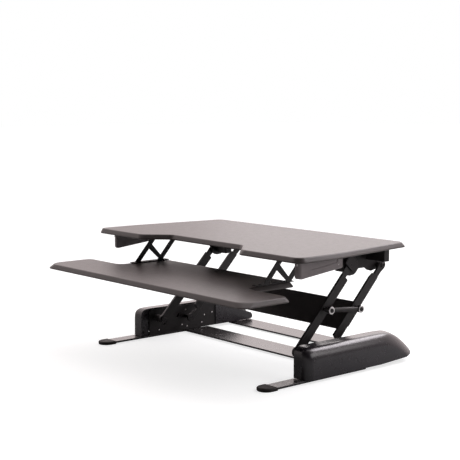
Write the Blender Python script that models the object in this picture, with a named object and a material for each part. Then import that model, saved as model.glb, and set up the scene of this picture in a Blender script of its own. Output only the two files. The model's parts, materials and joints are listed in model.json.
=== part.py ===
"""Two-tier standing desk converter: desktop and keyboard tray on a parallelogram of four arms over two shrouded base rails.

Metres, +X to the right seen from the front, +Y to the back, +Z up. Lengths along Y are laid out from the tips of the
foot caps and moved by SHIFT_Y at the end, so that the origin is under the middle of the object.
"""

import math

import bmesh
import bpy

for old in list(bpy.data.objects):
    bpy.data.objects.remove(old, do_unlink=True)

# ---------------------------------------------------------------- driving dimensions
SHIFT_Y = 0.2415

# linkage
ARM_LENGTH = 0.310
ARM_ANGLE = math.radians(45.85)
FRONT_PIVOT = (0.197, 0.065)  # y, z
REAR_PIVOT = (0.3184, 0.0544)
ARM_NEAR = 0.0105  # from the line of pivots to the edge that faces away from the other arm
ARM_FAR = 0.0178  # and to the edge that faces it
FRONT_ARM_X = (0.3010, 0.3085)
REAR_ARM_X = (0.3100, 0.3170)
LINK_S = 0.150
PIN_R = 0.005
BORE_R = 0.0053

# desktop and tray
DESK_TOP = 0.3545
DESK_T = 0.0153
TRAY_TOP = 0.2599
TRAY_T = 0.0155
HALF_W = 0.457

# base
BAR_X = (0.347, 0.3905)
BAR_Z = (0.002, 0.008)
PLATE_X = (0.345, 0.348)
SHROUD_IN = 0.3487
SHROUD_OUT = 0.402
SHROUD_TOP = 0.0952
SHROUD_R = 0.026
WALL = 0.003

UNDER = DESK_TOP - DESK_T
U = (math.cos(ARM_ANGLE), math.sin(ARM_ANGLE))
N = (-U[1], U[0])


def along(pivot, s, t=0.0):
    return (pivot[0] + s * U[0] + t * N[0], pivot[1] + s * U[1] + t * N[1])


FRONT_TOP = along(FRONT_PIVOT, ARM_LENGTH)
REAR_TOP = along(REAR_PIVOT, ARM_LENGTH)
FRONT_MID = along(FRONT_PIVOT, LINK_S)
REAR_MID = along(REAR_PIVOT, LINK_S)
PAWL_PIVOT = (0.380, 0.3245)
LEVER_PIVOT = (0.240, 0.3185)

# ---------------------------------------------------------------- materials
MATERIALS = {}


def material(name, rgb, rough, metal=0.0):
    if name not in MATERIALS:
        made = bpy.data.materials.new(name)
        made.use_nodes = True
        shader = made.node_tree.nodes["Principled BSDF"]
        shader.inputs["Base Color"].default_value = (*rgb, 1.0)
        shader.inputs["Roughness"].default_value = rough
        shader.inputs["Metallic"].default_value = metal
        made.diffuse_color = (*rgb, 1.0)
        MATERIALS[name] = made
    return MATERIALS[name]


def laminate():
    return material("laminate", (0.060, 0.055, 0.055), 0.45)


def powder():
    return material("powder_coat", (0.020, 0.018, 0.019), 0.55, 0.3)


def shell():
    return material("shell_plastic", (0.045, 0.042, 0.050), 0.38)


def grey_plastic():
    return material("grey_plastic", (0.150, 0.140, 0.145), 0.45)


def rubber():
    return material("rubber", (0.015, 0.015, 0.015), 0.8)


def zinc():
    return material("zinc_steel", (0.55, 0.55, 0.56), 0.35, 0.9)


def black_oxide():
    return material("black_oxide", (0.03, 0.03, 0.03), 0.4, 0.7)


# ---------------------------------------------------------------- mesh helpers
def finish(name, bm, mat, side=1):
    """The bmesh as an object, mirrored to the left when side is -1, and moved to the origin."""
    for vert in bm.verts:
        vert.co.x *= side
        vert.co.y -= SHIFT_Y
    bmesh.ops.recalc_face_normals(bm, faces=bm.faces)
    mesh = bpy.data.meshes.new(name)
    bm.to_mesh(mesh)
    bm.free()
    mesh.shade_smooth()
    mesh.set_sharp_from_angle(angle=math.radians(32))
    obj = bpy.data.objects.new(name, mesh)
    bpy.context.scene.collection.objects.link(obj)
    if mat is not None:
        mesh.materials.append(mat)
    return obj


def loft(rings, bm=None):
    """A closed body through rings of points, with the first and last ring capped."""
    bm = bm or bmesh.new()
    made = [[bm.verts.new(p) for p in ring] for ring in rings]
    count = len(made[0])
    for low, high in zip(made, made[1:]):
        for i in range(count):
            j = (i + 1) % count
            bm.faces.new((low[i], low[j], high[j], high[i]))
    bm.faces.new(list(reversed(made[0])))
    bm.faces.new(made[-1])
    return bm


def prism_x(points, x0, x1):
    return loft([[(x, y, z) for y, z in points] for x in (x0, x1)])


def prism_z(points, z0, z1):
    return loft([[(x, y, z) for x, y in points] for z in (z0, z1)])


def box(x0, x1, y0, y1, z0, z1):
    return prism_x([(y0, z0), (y1, z0), (y1, z1), (y0, z1)], x0, x1)


def arc(centre, radius, start, end, steps):
    """Points on an arc from start to end, in degrees."""
    return [
        (
            centre[0] + radius * math.cos(math.radians(start + (end - start) * i / steps)),
            centre[1] + radius * math.sin(math.radians(start + (end - start) * i / steps)),
        )
        for i in range(steps + 1)
    ]


def circle(centre, radius, count=24):
    return arc(centre, radius, 0, 360, count)[:-1]


def rounded(corners, steps=5):
    """A polygon whose corners (x, y, radius) are rounded."""
    out = []
    count = len(corners)
    for i, (x, y, r) in enumerate(corners):
        if r <= 0:
            out.append((x, y))
            continue
        px, py, _ = corners[i - 1]
        nx, ny, _ = corners[(i + 1) % count]
        ax, ay = px - x, py - y
        bx, by = nx - x, ny - y
        la, lb = math.hypot(ax, ay), math.hypot(bx, by)
        ax, ay, bx, by = ax / la, ay / la, bx / lb, by / lb
        half = math.acos(max(-1.0, min(1.0, ax * bx + ay * by))) / 2
        if half > math.radians(88):
            out.append((x, y))
            continue
        cut = min(r / math.tan(half), 0.48 * la, 0.48 * lb)
        radius = cut * math.tan(half)
        mx, my = ax + bx, ay + by
        lm = math.hypot(mx, my)
        reach = radius / math.sin(half)
        cx, cy = x + mx / lm * reach, y + my / lm * reach
        start = math.atan2(y + ay * cut - cy, x + ax * cut - cx)
        end = math.atan2(y + by * cut - cy, x + bx * cut - cx)
        turn = (end - start + math.pi) % (2 * math.pi) - math.pi
        for k in range(steps + 1):
            angle = start + turn * k / steps
            out.append((cx + radius * math.cos(angle), cy + radius * math.sin(angle)))
    return out


def inset(points, distance):
    """The outline moved inwards by distance; the points run anticlockwise."""
    out = []
    count = len(points)
    for i in range(count):
        ax, ay = points[i - 1]
        bx, by = points[i]
        cx, cy = points[(i + 1) % count]
        ux, uy = bx - ax, by - ay
        vx, vy = cx - bx, cy - by
        lu, lv = math.hypot(ux, uy), math.hypot(vx, vy)
        n1 = (-uy / lu, ux / lu)
        n2 = (-vy / lv, vx / lv)
        k = 1 + n1[0] * n2[0] + n1[1] * n2[1]
        out.append((bx + distance * (n1[0] + n2[0]) / k, by + distance * (n1[1] + n2[1]) / k))
    return out


def mirrored(half):
    """A whole outline, anticlockwise, from its right half, which runs from front to back."""
    left = [(-x, y) for x, y in reversed(half) if x > 1e-6]
    return half + left


def turned(profile, centre, count=20):
    """A body turned about an axis along X through centre (y, z): profile is (x, radius) pairs."""
    bm = bmesh.new()
    rings = []
    for x, r in profile:
        rings.append(
            [
                bm.verts.new(
                    (
                        x,
                        centre[0] + r * math.cos(2 * math.pi * i / count),
                        centre[1] + r * math.sin(2 * math.pi * i / count),
                    )
                )
                for i in range(count)
            ]
        )
    for low, high in zip(rings, rings[1:]):
        for i in range(count):
            j = (i + 1) % count
            bm.faces.new((low[i], low[j], high[j], high[i]))
    bm.faces.new(list(reversed(rings[0])))
    bm.faces.new(rings[-1])
    return bm


def cutter(name, bm, side=1):
    obj = finish(name, bm, None, side)
    obj.hide_render = True
    obj.display_type = "WIRE"
    return obj


def boolean(obj, other, operation="DIFFERENCE"):
    mod = obj.modifiers.new(operation.lower(), "BOOLEAN")
    mod.operation = operation
    mod.solver = "EXACT"
    mod.object = other
    return obj


def bore(obj, centre, radius, x0, x1, side, tag):
    boolean(obj, cutter(f"cut_{obj.name}_{tag}", prism_x(circle(centre, radius), x0, x1), side))


def local(points, pivot):
    return [along(pivot, s, t) for s, t in points]


# ---------------------------------------------------------------- desktop
DESK_HALF = [
    (0.0, 0.1209, 0),
    (0.1600, 0.1209, 0.018),
    (0.2270, 0.0546, 0.026),
    (0.3200, 0.0548, 0),
    (0.4565, 0.0560, 0.026),
    (0.4575, 0.1100, 0),
    (0.4570, 0.1500, 0),
    (0.4550, 0.2000, 0),
    (0.4500, 0.2450, 0),
    (0.4430, 0.2950, 0),
    (0.4320, 0.3700, 0),
    (0.4215, 0.4450, 0),
    (0.4110, 0.5295, 0.016),
]


def half_rounded(corners, last_x=0.0):
    """Round only the inner corners of an open half outline."""
    pts = rounded(corners + [(last_x, corners[-1][1], 0)], 6)
    return [p for p in pts]


desk_outline = mirrored(half_rounded(DESK_HALF))
desk_rings = [
    [(x, y, UNDER) for x, y in inset(desk_outline, 0.0022)],
    [(x, y, UNDER + 0.0022) for x, y in desk_outline],
    [(x, y, UNDER + 0.0042) for x, y in inset(desk_outline, 0.0002)],
    [(x, y, DESK_TOP - 0.0016) for x, y in inset(desk_outline, 0.0052)],
    [(x, y, DESK_TOP) for x, y in inset(desk_outline, 0.0072)],
]
finish("desktop", loft(desk_rings), laminate())

# ---------------------------------------------------------------- keyboard tray
TRAY_HALF = [
    (0.0, -0.1335, 0),
    (0.4570, -0.1335, 0.026),
    (0.4570, 0.0301, 0.014),
    (0.2950, 0.0301, 0.010),
    (0.2950, 0.2000, 0.012),
]
tray_outline = mirrored(half_rounded(TRAY_HALF))
TRAY_LOW = TRAY_TOP - TRAY_T
tray_rings = [
    [(x, y, TRAY_LOW) for x, y in inset(tray_outline, 0.0022)],
    [(x, y, TRAY_LOW + 0.0022) for x, y in tray_outline],
    [(x, y, TRAY_LOW + 0.0042) for x, y in inset(tray_outline, 0.0002)],
    [(x, y, TRAY_TOP - 0.0016) for x, y in inset(tray_outline, 0.0052)],
    [(x, y, TRAY_TOP) for x, y in inset(tray_outline, 0.0072)],
]
finish("keyboard_tray", loft(tray_rings), laminate())

# ---------------------------------------------------------------- rear beam under the desktop
finish("rear_beam", box(-0.367, 0.367, 0.4850, 0.5060, 0.2955, UNDER - 0.0003), powder())

# ---------------------------------------------------------------- crossbars
finish("front_crossbar", box(-0.3465, 0.3465, 0.3217, 0.4158, 0.0023, 0.0078), powder())
finish("rear_crossbar", box(-0.3600, 0.3600, 0.5204, 0.6060, 0.0023, 0.0078), powder())

# ---------------------------------------------------------------- cross panel
PANEL_T = (-0.0134, -0.0108)
panel_half = [
    (0.0, 0.078),
    (0.2930, 0.078),
    (0.2930, 0.092),
    (REAR_ARM_X[1], 0.092),
    (REAR_ARM_X[1], 0.150),
    (0.2930, 0.150),
    (0.2930, 0.171),
    (0.2860, 0.178),
    (0.0, 0.178),
]
panel_outline = panel_half + [(-x, s) for x, s in reversed(panel_half) if x > 1e-6]
finish(
    "cross_panel",
    loft([[(x, *along(REAR_PIVOT, s, t)) for x, s in panel_outline] for t in PANEL_T]),
    powder(),
)


def build_side(side):
    tag = "right" if side > 0 else "left"

    # foot bar, its rubber cap and the rear pad
    finish(
        f"foot_bar_{tag}",
        prism_z([(BAR_X[0], 0.018), (BAR_X[1], 0.018), (BAR_X[1], 0.388), (BAR_X[0], 0.388)], *BAR_Z),
        powder(),
        side,
    )
    mid = 0.36875
    tip = arc((mid, 0.0252), 0.0252, 180, 360, 12) + [(mid + 0.0252, 0.045), (mid - 0.0252, 0.045)]
    cap = finish(
        f"foot_cap_{tag}",
        loft(
            [
                [(x, y, 0.0) for x, y in inset(tip, 0.0012)],
                [(x, y, 0.0015) for x, y in tip],
                [(x, y, 0.0080) for x, y in tip],
                [(x, y, 0.0100) for x, y in inset(tip, 0.0025)],
            ]
        ),
        rubber(),
        side,
    )
    boolean(
        cap,
        cutter(
            f"cut_cap_{tag}",
            box(BAR_X[0] - 0.0003, BAR_X[1] + 0.0003, 0.0177, 0.060, BAR_Z[0] - 0.0003, BAR_Z[1] + 0.0003),
            side,
        ),
    )
    finish(f"rear_foot_pad_{tag}", box(0.322, 0.356, 0.528, 0.600, 0.0, 0.0020), rubber(), side)

    # inner side plate: upright wall and a flange folded outwards
    wall = [
        (0.175, 0.0085),
        (0.600, 0.0085),
        (0.595, 0.0300),
        (0.500, 0.0660),
        (0.448, 0.0860),
        (0.430, 0.0915),
        (0.181, 0.0915),
        (0.175, 0.0860),
    ]
    plate = finish(f"inner_plate_{tag}", prism_x(wall, *PLATE_X), powder(), side)
    boolean(
        plate,
        cutter(f"add_flange_{tag}", box(0.346, 0.385, 0.1785, 0.560, 0.0085, 0.0115), side),
        "UNION",
    )
    bore(plate, FRONT_PIVOT, BORE_R, 0.340, 0.355, side, "front")
    bore(plate, REAR_PIVOT, BORE_R, 0.340, 0.355, side, "rear")
    for i, (y, z) in enumerate(((0.238, 0.042), (0.290, 0.060))):
        slot = [along((y, z), s, t) for s, t in ((-0.008, -0.0025), (0.008, -0.0025), (0.008, 0.0025), (-0.008, 0.0025))]
        boolean(plate, cutter(f"cut_slot_{tag}_{i}", prism_x(slot, 0.340, 0.355), side))

    # shroud: a lofted shell, rounded along its whole outer edge, whose tail sweeps forwards on its outer side
    def side_profile(x, shrink):
        """The outline at x: front, top and a tail that runs further back inboard."""
        share = max(0.0, (x - 0.345) / (SHROUD_OUT - 0.345))
        tail = 0.6165 - 0.0295 * share**1.6 - shrink
        front = 0.1445 + shrink
        bottom = 0.0095
        scale = (SHROUD_TOP - shrink - bottom) / (0.1015 - bottom)
        raw = [
            (front, bottom),
            (front, 0.050),
            (front + 0.0010, 0.082),
            (front + 0.0045, 0.0930),
            (front + 0.0125, 0.0990),
            (front + 0.0235, 0.1015),
            (0.250, 0.1015),
            (0.350, 0.1015),
            (tail - 0.133, 0.1000),
            (tail - 0.108, 0.0955),
            (tail - 0.080, 0.0825),
            (tail - 0.050, 0.0615),
            (tail - 0.026, 0.0400),
            (tail - 0.0150, 0.0280),
            (tail - 0.0125, 0.0235),
            (tail - 0.0145, 0.0202),
            (0.440, bottom),
        ]
        return [(y, bottom + (z - bottom) * scale) for y, z in raw]

    def rounded_edge(radius, wall):
        """(x, shrink) pairs round the outer edge."""
        start = SHROUD_OUT - SHROUD_R
        return [
            (start + radius * math.sin(math.radians(a)), wall + radius * (1 - math.cos(math.radians(a))))
            for a in (0, 15, 30, 45, 60, 75, 90)
        ]

    shroud = finish(
        f"shroud_{tag}",
        loft(
            [
                [(x, y, z) for y, z in side_profile(x, d)]
                for x, d in [(SHROUD_IN, 0.0)] + rounded_edge(SHROUD_R, 0.0)
            ]
        ),
        shell(),
        side,
    )
    rings = []
    for x, d in [(0.3400, WALL)] + rounded_edge(SHROUD_R - WALL, WALL):
        rings.append([(x, y, z - 0.03 if z < 0.0200 else z) for y, z in side_profile(x, d)])
    boolean(shroud, cutter(f"cut_shroud_{tag}", loft(rings), side))
    strip = [
        (0.1460, 0.0105),
        (0.1745, 0.0105),
        (0.1745, 0.0935),
        (0.1560, 0.0905),
        (0.1490, 0.0850),
        (0.1460, 0.0745),
    ]
    boolean(shroud, cutter(f"add_return_{tag}", prism_x(strip, 0.3490, 0.3517), side), "UNION")

    # inner rear cover over the plate's tail
    cover = [
        (0.4475, 0.0090),
        (0.606, 0.0090),
        (0.6125, 0.0130),
        (0.6135, 0.0210),
        (0.6080, 0.0300),
        (0.596, 0.0345),
        (0.470, 0.0790),
        (0.4475, 0.0790),
    ]
    finish(f"rear_cover_{tag}", prism_x(cover, 0.3418, 0.3446), shell(), side)

    # lower pins and the lift spring on the front one
    finish(
        f"lower_front_pin_{tag}",
        turned(
            [
                (0.2964, 0.0070), (0.2972, 0.0080), (0.3000, 0.0080), (0.3000, PIN_R),
                (0.3486, PIN_R), (0.3486, 0.0080), (0.3514, 0.0080), (0.3522, 0.0070),
            ],
            FRONT_PIVOT,
        ),
        zinc(),
        side,
    )
    finish(
        f"lower_rear_pin_{tag}",
        turned(
            [
                (0.3102, PIN_R), (0.3173, PIN_R), (0.3173, 0.0080), (0.3206, 0.0080), (0.3206, PIN_R),
                (0.3486, PIN_R), (0.3486, 0.0080), (0.3514, 0.0080), (0.3522, 0.0070),
            ],
            REAR_PIVOT,
        ),
        zinc(),
        side,
    )
    turns, wire, mean, start, end = 5.0, 0.0019, 0.0095, 0.3150, 0.3405
    bm = bmesh.new()
    steps = int(turns * 14)
    rings = []
    for k in range(steps + 1):
        a = 2 * math.pi * turns * k / steps
        x = start + (end - start) * k / steps
        c = (math.cos(a), math.sin(a))
        rings.append(
            [
                bm.verts.new(
                    (
                        x + wire * math.sin(2 * math.pi * j / 6),
                        FRONT_PIVOT[0] + c[0] * (mean + wire * math.cos(2 * math.pi * j / 6)),
                        FRONT_PIVOT[1] + c[1] * (mean + wire * math.cos(2 * math.pi * j / 6)),
                    )
                )
                for j in range(6)
            ]
        )
    for low, high in zip(rings, rings[1:]):
        for j in range(6):
            k = (j + 1) % 6
            bm.faces.new((low[j], low[k], high[k], high[j]))
    bm.faces.new(list(reversed(rings[0])))
    bm.faces.new(rings[-1])
    finish(f"lift_spring_{tag}", bm, zinc(), side)

    # front arm: flat bar, round lower end, thinner neck up to the top pivot
    low_end = [(0.0139 * math.cos(math.radians(a)), 0.0139 * math.sin(math.radians(a))) for a in range(49, 312, 22)]
    bar = [
        (0.0092, -0.0105), (0.0300, -ARM_FAR), (0.266, -ARM_FAR), (0.268, -ARM_FAR + 0.002),
        (0.268, ARM_NEAR), (0.0092, ARM_NEAR),
    ]
    front = finish(f"front_arm_{tag}", prism_x(local(low_end + bar, FRONT_PIVOT), *FRONT_ARM_X), powder(), side)
    neck = [(0.255, -0.0090), (0.310, -0.0120)]
    neck += [(0.310 + 0.0120 * math.cos(math.radians(a)), 0.0120 * math.sin(math.radians(a))) for a in range(-67, 68, 22)]
    neck += [(0.310, 0.0120), (0.255, 0.0090)]
    boolean(
        front,
        cutter(f"add_neck_{tag}", prism_x(local(neck, FRONT_PIVOT), FRONT_ARM_X[0], 0.3036), side),
        "UNION",
    )
    bore(front, FRONT_PIVOT, BORE_R, 0.29, 0.33, side, "low")
    bore(front, FRONT_TOP, BORE_R, 0.29, 0.33, side, "top")
    bore(front, FRONT_MID, BORE_R, 0.29, 0.33, side, "mid")

    # notched sector on the neck
    teeth = []
    for k in range(20):
        a0 = math.degrees(ARM_ANGLE) - 116 + k * 12
        for da, r in ((0.0, 0.0260), (5.5, 0.0260), (7.2, 0.0232), (10.3, 0.0232)):
            teeth.append((FRONT_TOP[0] + r * math.cos(math.radians(a0 + da)), FRONT_TOP[1] + r * math.sin(math.radians(a0 + da))))
    sector = finish(f"notched_sector_{tag}", prism_x(teeth, 0.3040, 0.3083), black_oxide(), side)
    bore(sector, FRONT_TOP, BORE_R, 0.29, 0.33, side, "top")

    # rear arm, with a relief for the bolt of the link rod when the arms lie flat
    low_end = [(0.0139 * math.cos(math.radians(a)), 0.0139 * math.sin(math.radians(a))) for a in range(38, 290, 21)]
    bar = [
        (0.0300, -0.0125), (0.0480, -ARM_NEAR), (0.270, -ARM_NEAR), (0.272, -0.0085), (0.290, -0.0090),
        (0.310, -0.0125),
    ]
    bar += [(0.310 + 0.0125 * math.cos(math.radians(a)), 0.0125 * math.sin(math.radians(a))) for a in range(-68, 69, 17)]
    bar += [(0.310, 0.0125), (0.290, 0.0090), (0.270, 0.0090), (0.268, 0.0140), (0.250, ARM_FAR)]
    bar += [(0.0400, ARM_FAR), (0.0368, 0.0010), (0.0220, 0.0010), (0.0212, 0.0085), (0.0125, 0.0085)]
    rear = finish(f"rear_arm_{tag}", prism_x(local(low_end + bar, REAR_PIVOT), *REAR_ARM_X), powder(), side)
    bore(rear, REAR_PIVOT, BORE_R, 0.30, 0.34, side, "low")
    bore(rear, REAR_TOP, BORE_R, 0.30, 0.34, side, "top")
    bore(rear, REAR_MID, BORE_R, 0.30, 0.34, side, "mid")

    # link rod with an eye at each end, and its bolts
    rod_dir = (REAR_MID[0] - FRONT_MID[0], REAR_MID[1] - FRONT_MID[1])
    length = math.hypot(*rod_dir)
    d = (rod_dir[0] / length, rod_dir[1] / length)
    q = (-d[1], d[0])
    bm = bmesh.new()
    rings = []
    for s in (0.006, length - 0.006):
        rings.append(
            [
                bm.verts.new(
                    (
                        0.3325 + 0.0048 * math.sin(2 * math.pi * j / 12),
                        FRONT_MID[0] + d[0] * s + q[0] * 0.0070 * math.cos(2 * math.pi * j / 12),
                        FRONT_MID[1] + d[1] * s + q[1] * 0.0070 * math.cos(2 * math.pi * j / 12),
                    )
                )
                for j in range(12)
            ]
        )
    for j in range(12):
        k = (j + 1) % 12
        bm.faces.new((rings[0][j], rings[0][k], rings[1][k], rings[1][j]))
    bm.faces.new(list(reversed(rings[0])))
    bm.faces.new(rings[1])
    rod = finish(f"link_rod_{tag}", bm, powder(), side)
    for end_name, centre in (("front", FRONT_MID), ("rear", REAR_MID)):
        boolean(
            rod,
            cutter(f"add_eye_{tag}_{end_name}", prism_x(circle(centre, 0.0105), 0.3275, 0.3371), side),
            "UNION",
        )
    for end_name, centre in (("front", FRONT_MID), ("rear", REAR_MID)):
        bore(rod, centre, BORE_R, 0.32, 0.345, side, end_name)
    for end_name, centre, inner in (("front", FRONT_MID, 0.3012), ("rear", REAR_MID, 0.3102)):
        finish(
            f"link_bolt_{end_name}_{tag}",
            turned(
                [
                    (inner, PIN_R), (0.3174, PIN_R), (0.3174, 0.0075), (0.3271, 0.0075), (0.3271, PIN_R),
                    (0.3375, PIN_R), (0.3375, 0.0075), (0.3398, 0.0075), (0.3408, 0.0060),
                ],
                centre,
            ),
            black_oxide(),
            side,
        )

    # truss between the decks
    tx = (0.2885, 0.2925)
    truss = finish(
        f"tray_truss_{tag}",
        box(0.2700, tx[1], 0.064, 0.198, TRAY_TOP + 0.0002, TRAY_TOP + 0.0027),
        powder(),
        side,
    )
    z0, z1 = TRAY_TOP + 0.0012, UNDER - 0.0012
    strips = {
        "top": [(0.100, UNDER - 0.0030), (0.262, UNDER - 0.0030), (0.262, UNDER - 0.0003), (0.100, UNDER - 0.0003)],
        "bar1": [(0.0810, z0), (0.1010, z0), (0.1700, z1), (0.1500, z1)],
        "bar2": [(0.1670, z0), (0.1870, z0), (0.2560, z1), (0.2360, z1)],
        "diag": [(0.1290, 0.3040), (0.1400, 0.3200), (0.1900, 0.2700), (0.1790, 0.2600)],
    }
    for key, pts in strips.items():
        x0, x1 = (0.2700, tx[1]) if key == "top" else tx
        if key == "diag":
            pts = [(0.1300, 0.3030), (0.1760, z0), (0.1920, z0), (0.1420, 0.3160)]
        boolean(truss, cutter(f"add_{tag}_{key}", prism_x(pts, x0, x1), side), "UNION")

    # upper bracket: side plate and a flange under the desktop
    outline = [
        (0.370, UNDER - 0.0003),
        (0.370, 0.3160),
        (0.394, 0.2690),
    ]
    outline += [(0.3980, 0.2610), (0.4060, 0.2562), (0.4140, 0.2545), (0.4310, 0.2560), (0.4400, 0.2605), (0.4470, 0.2680)]
    outline += [(0.4520, 0.2725), (0.4780, 0.2725), (0.4900, 0.2645), (0.5060, 0.2600)]
    outline += arc(REAR_TOP, 0.014, -115, 45, 9)
    outline += [
        (0.5290, 0.2985),
        (0.5180, 0.3060),
        (0.5066, 0.3060),
        (0.5066, 0.2948),
        (0.4844, 0.2948),
        (0.4844, UNDER - 0.0003),
    ]
    bracket = finish(f"upper_bracket_{tag}", prism_x(outline, 0.2938, 0.2980), powder(), side)
    boolean(
        bracket,
        cutter(f"add_bracket_{tag}", box(0.2420, 0.2970, 0.370, 0.4844, UNDER - 0.0033, UNDER - 0.0003), side),
        "UNION",
    )
    bore(bracket, FRONT_TOP, BORE_R, 0.285, 0.305, side, "front")
    bore(bracket, REAR_TOP, BORE_R, 0.285, 0.305, side, "rear")
    bore(bracket, PAWL_PIVOT, 0.0028, 0.285, 0.305, side, "pawl")
    finish(
        f"upper_front_pin_{tag}",
        turned([(0.2900, 0.0070), (0.2908, 0.0080), (0.2935, 0.0080), (0.2935, PIN_R), (0.3083, PIN_R)], FRONT_TOP),
        zinc(),
        side,
    )
    finish(
        f"upper_rear_pin_{tag}",
        turned(
            [
                (0.2900, 0.0070), (0.2908, 0.0080), (0.2935, 0.0080), (0.2935, PIN_R),
                (0.2983, PIN_R), (0.2983, 0.0085), (0.3096, 0.0085), (0.3096, PIN_R),
                (0.3173, PIN_R), (0.3173, 0.0080), (0.3197, 0.0080), (0.3205, 0.0070),
            ],
            REAR_TOP,
        ),
        black_oxide(),
        side,
    )

    # latch pawl over the sector and its pin
    pawl_pts = arc(PAWL_PIVOT, 0.0060, 95, 265, 8) + [
        (0.4075, 0.3190),
        (0.4105, 0.3143),
        (0.4150, 0.3143),
        (0.4190, 0.3200),
        (0.4190, 0.3290),
        (0.4120, 0.3305),
    ]
    pawl = finish(f"latch_pawl_{tag}", prism_x(pawl_pts, 0.3040, 0.3081), black_oxide(), side)
    bore(pawl, PAWL_PIVOT, 0.0028, 0.30, 0.315, side, "pin")
    finish(
        f"pawl_pin_{tag}",
        turned(
            [
                (0.2910, 0.0045), (0.2935, 0.0045), (0.2935, 0.0025), (0.2984, 0.0025), (0.2984, 0.0045),
                (0.3036, 0.0045), (0.3036, 0.0025), (0.3085, 0.0025),
            ],
            PAWL_PIVOT,
            14,
        ),
        zinc(),
        side,
    )

    # latch box under the flange of the bracket
    box_x = (0.2440, 0.2885)
    shape = rounded(
        [(box_x[0], 0.4080, 0.005), (box_x[1], 0.4080, 0.002), (box_x[1], 0.4360, 0.002), (box_x[0], 0.4360, 0.005)], 3
    )
    latch = loft(
        [
            [(x, y, 0.2632) for x, y in inset(shape, 0.0015)],
            [(x, y, 0.2647) for x, y in shape],
            [(x, y, UNDER - 0.0036) for x, y in shape],
        ]
    )
    finish(f"latch_box_{tag}", latch, powder(), side)

    # handle housing, release lever and its pin
    hx = (0.4040, 0.4220)

    def housing_profile(front, rise):
        def low(y):
            return 0.2915 + max(0.0, y - 0.1010) * 0.1054 + rise

        return [
            (front, UNDER - 0.0003),
            (front, low(front) + 0.0070),
            (front + 0.0020, low(front) + 0.0022),
            (front + 0.0070, low(front)),
            (0.1120, low(0.1120)),
            (0.2520, low(0.2520)),
            (0.2540, low(0.2540) + 0.0020),
            (0.2540, UNDER - 0.0003),
        ]

    housing = finish(
        f"handle_housing_{tag}",
        loft(
            [
                [(x, y, z) for y, z in housing_profile(front, rise)]
                for x, front, rise in (
                    (hx[0], 0.0925, 0.0010),
                    (hx[0] + 0.0012, 0.0915, 0.0),
                    (0.4110, 0.0925, 0.0),
                    (0.4165, 0.0950, 0.0),
                    (0.4200, 0.0985, 0.0002),
                    (0.4214, 0.1010, 0.0008),
                    (hx[1], 0.1035, 0.0020),
                )
            ]
        ),
        grey_plastic(),
        side,
    )
    slot = [
        (0.1070, 0.3350),
        (0.1070, 0.2800),
        (0.2515, 0.2950),
        (0.2515, 0.3350),
    ]
    boolean(housing, cutter(f"cut_housing_{tag}", prism_x(slot, 0.4065, 0.4195), side))
    bore(housing, LEVER_PIVOT, 0.0028, 0.40, 0.44, side, "pin")
    lever = finish(
        f"release_lever_{tag}",
        prism_x(
            rounded(
                [
                    (0.1095, 0.2964, 0.003),
                    (0.2400, 0.3092, 0),
                    (0.2480, 0.3125, 0.003),
                    (0.2480, 0.3240, 0.003),
                    (0.2300, 0.3262, 0.002),
                    (0.1095, 0.3064, 0.003),
                ],
                3,
            ),
            0.4077,
            0.4183,
        ),
        rubber(),
        side,
    )
    bore(lever, LEVER_PIVOT, 0.0028, 0.40, 0.44, side, "pin")
    finish(
        f"lever_pin_{tag}",
        turned([(0.4043, 0.0025), (0.4212, 0.0025), (0.4217, 0.0019)], LEVER_PIVOT, 14),
        zinc(),
        side,
    )

    # release cable along the underside of the desktop
    route = [
        (0.4030, 0.2470, 0.3320), (0.3940, 0.2500, 0.3335), (0.3800, 0.2600, 0.3345), (0.3600, 0.2800, 0.3350),
        (0.3400, 0.3050, 0.3350), (0.3250, 0.3280, 0.3345), (0.3150, 0.3480, 0.3330), (0.3090, 0.3640, 0.3310),
    ]
    curve = bpy.data.curves.new(f"release_cable_{tag}", "CURVE")
    curve.dimensions = "3D"
    curve.bevel_depth = 0.0018
    curve.bevel_resolution = 1
    curve.use_fill_caps = True
    spline = curve.splines.new("POLY")
    spline.points.add(len(route) - 1)
    for point, (x, y, z) in zip(spline.points, route):
        point.co = (x * side, y - SHIFT_Y, z, 1.0)
    cable = bpy.data.objects.new(f"release_cable_{tag}", curve)
    curve.materials.append(rubber())
    bpy.context.scene.collection.objects.link(cable)


for which in (1, -1):
    build_side(which)


# ---------------------------------------------------------------- joint axes
def axis(name, centre, x=0.0, parent=None):
    """An empty on a joint's axis, which runs along X."""
    empty = bpy.data.objects.new(name, None)
    empty.empty_display_type = "ARROWS"
    empty.empty_display_size = 0.03
    bpy.context.scene.collection.objects.link(empty)
    place = (x, centre[0] - SHIFT_Y, centre[1])
    if parent is not None:
        empty.parent = parent
        place = tuple(a - b for a, b in zip(place, parent["centre"]))
    empty.location = place
    empty["centre"] = (x, centre[0] - SHIFT_Y, centre[1])
    return empty


def hang(empty, *names):
    """Parent objects, and the cutters of their modifiers, to an empty without moving them."""
    bpy.context.view_layer.update()
    for name in names:
        obj = bpy.data.objects[name]
        for each in [obj] + [m.object for m in obj.modifiers if m.type == "BOOLEAN"]:
            if each.parent is None:
                each.parent = empty
                each.matrix_parent_inverse = empty.matrix_world.inverted()


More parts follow.
